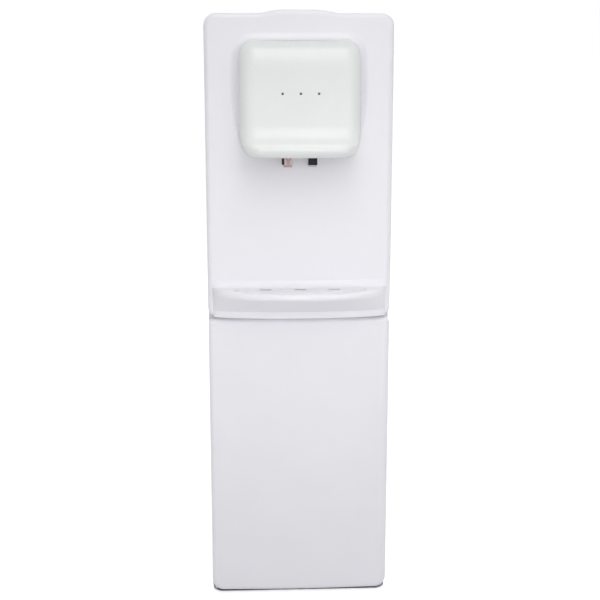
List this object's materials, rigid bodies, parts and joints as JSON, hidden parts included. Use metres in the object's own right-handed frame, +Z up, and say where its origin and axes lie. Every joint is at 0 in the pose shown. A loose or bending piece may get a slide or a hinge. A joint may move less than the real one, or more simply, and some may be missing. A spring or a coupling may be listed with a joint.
{
  "type": "water dispenser",
  "caption": "Floor-standing top-loading hot and cold water dispenser with push taps under a moulded head, a drip ledge and a storage cabinet with a plain door.",
  "frame": {"origin": "middle of the footprint, on the floor", "axes": "+Z up, the front faces -Y, +X to the right seen from the front"},
  "size_m": [0.31, 0.3581, 1.0205],
  "materials": {
    "white_abs": "moulded, satin",
    "head_white_abs": "moulded, gloss",
    "white_coated_sheet": "powder coated",
    "zinc_sheet": "zinc coated",
    "stainless_steel": "drawn",
    "copper": "drawn tube",
    "black_enamel": "enamel",
    "black_rubber": "moulded",
    "black_abs": "moulded",
    "pale_grey_abs": "moulded",
    "rose_abs": "moulded",
    "red_abs": "moulded",
    "blue_abs": "moulded",
    "silicone": "extruded",
    "foam": "expanded beads",
    "smoked_lens": "polished",
    "circuit_board": "laminate"
  },
  "bodies": {
    "cabinet": {"upper_front_panel": "white_abs", "top_cover": "white_abs", "cabinet_liner": "white_abs", "baffle_plate": "white_abs", "head_cover": "head_white_abs", "left_side_panel": "white_coated_sheet", "right_side_panel": "white_coated_sheet", "rear_panel": "white_coated_sheet", "base_plate": "zinc_sheet", "tank_shelf": "zinc_sheet", "machine_shelf": "zinc_sheet", "condenser_brackets": "zinc_sheet", "door_hinge_pins": "zinc_sheet", "cold_tank": "stainless_steel", "hot_tank": "stainless_steel", "heater_band": "stainless_steel", "evaporator_coil": "copper", "filter_drier": "copper", "suction_pipe": "copper", "discharge_pipe": "copper", "compressor": "black_enamel", "condenser_tube": "black_enamel", "condenser_wires": "black_enamel", "levelling_feet": "black_rubber", "compressor_grommets": "black_rubber", "mains_inlet": "black_rubber", "cold_tap_body": "black_abs", "hot_switch_housing": "black_abs", "cold_switch_housing": "black_abs", "terminal_cover": "black_abs", "thermostats": "black_abs", "door_catch": "black_abs", "hot_tap_body": "pale_grey_abs", "tap_nuts": "pale_grey_abs", "drain_spout": "pale_grey_abs", "cold_tap_hose": "silicone", "hot_tap_hose": "silicone", "hot_feed_hose": "silicone", "drain_hose": "silicone", "cold_tank_insulation": "foam", "hot_tank_jacket": "foam", "indicator_lenses": "smoked_lens", "indicator_board": "circuit_board"},
    "door": {"cabinet_door": "white_abs", "door_liner": "white_abs"},
    "hot_lever": {"hot_tap_lever": "rose_abs"},
    "hot_lock": {"hot_tap_lock": "red_abs"},
    "cold_lever": {"cold_tap_lever": "pale_grey_abs"},
    "tray": {"drip_tray": "white_abs"},
    "tray_cover": {"drip_tray_cover": "white_abs"},
    "seat": {"bottle_seat": "white_abs", "water_guard": "pale_grey_abs"},
    "hot_rocker": {"hot_switch_rocker": "red_abs"},
    "cold_rocker": {"cold_switch_rocker": "blue_abs"},
    "cap": {"drain_cap": "black_abs"}
  },
  "joints": [
    {"name": "door_hinge", "type": "hinge", "parent": "cabinet", "child": "door", "pos_m": [-0.148, -0.07605, 0.25], "axis": [0, 0, -1], "range_deg": [0, 110]},
    {"name": "hot_lever_push", "type": "hinge", "parent": "cabinet", "child": "hot_lever", "pos_m": [-0.02, -0.11505, 0.803], "axis": [1, 0, 0], "range_deg": [0, 15], "stiffness_Nm_per_rad": 0.25, "springref_deg": -8.59},
    {"name": "cold_lever_push", "type": "hinge", "parent": "cabinet", "child": "cold_lever", "pos_m": [0.02, -0.11505, 0.803], "axis": [1, 0, 0], "range_deg": [0, 15], "stiffness_Nm_per_rad": 0.25, "springref_deg": -8.59},
    {"name": "hot_lock_slide", "type": "slide", "parent": "cabinet", "child": "hot_lock", "axis": [0, 0, 1], "range_m": [0, 0.005], "stiffness_N_per_m": 60, "springref_m": -0.002},
    {"name": "tray_lift", "type": "slide", "parent": "cabinet", "child": "tray", "axis": [0, 0, 1], "range_m": [0, 0.06]},
    {"name": "tray_cover_lift", "type": "slide", "parent": "tray", "child": "tray_cover", "axis": [0, 0, 1], "range_m": [0, 0.04]},
    {"name": "bottle_seat_lift", "type": "slide", "parent": "cabinet", "child": "seat", "axis": [0, 0, 1], "range_m": [0, 0.09]},
    {"name": "hot_switch_rock", "type": "hinge", "parent": "cabinet", "child": "hot_rocker", "pos_m": [0.003, 0.15545, 0.3], "axis": [-1, 0, 0], "range_deg": [0, 18]},
    {"name": "cold_switch_rock", "type": "hinge", "parent": "cabinet", "child": "cold_rocker", "pos_m": [0.037, 0.15545, 0.3], "axis": [-1, 0, 0], "range_deg": [0, 18]},
    {"name": "drain_cap_pull", "type": "slide", "parent": "cabinet", "child": "cap", "axis": [0, 1, 0], "range_m": [0, 0.03]}
  ]
}
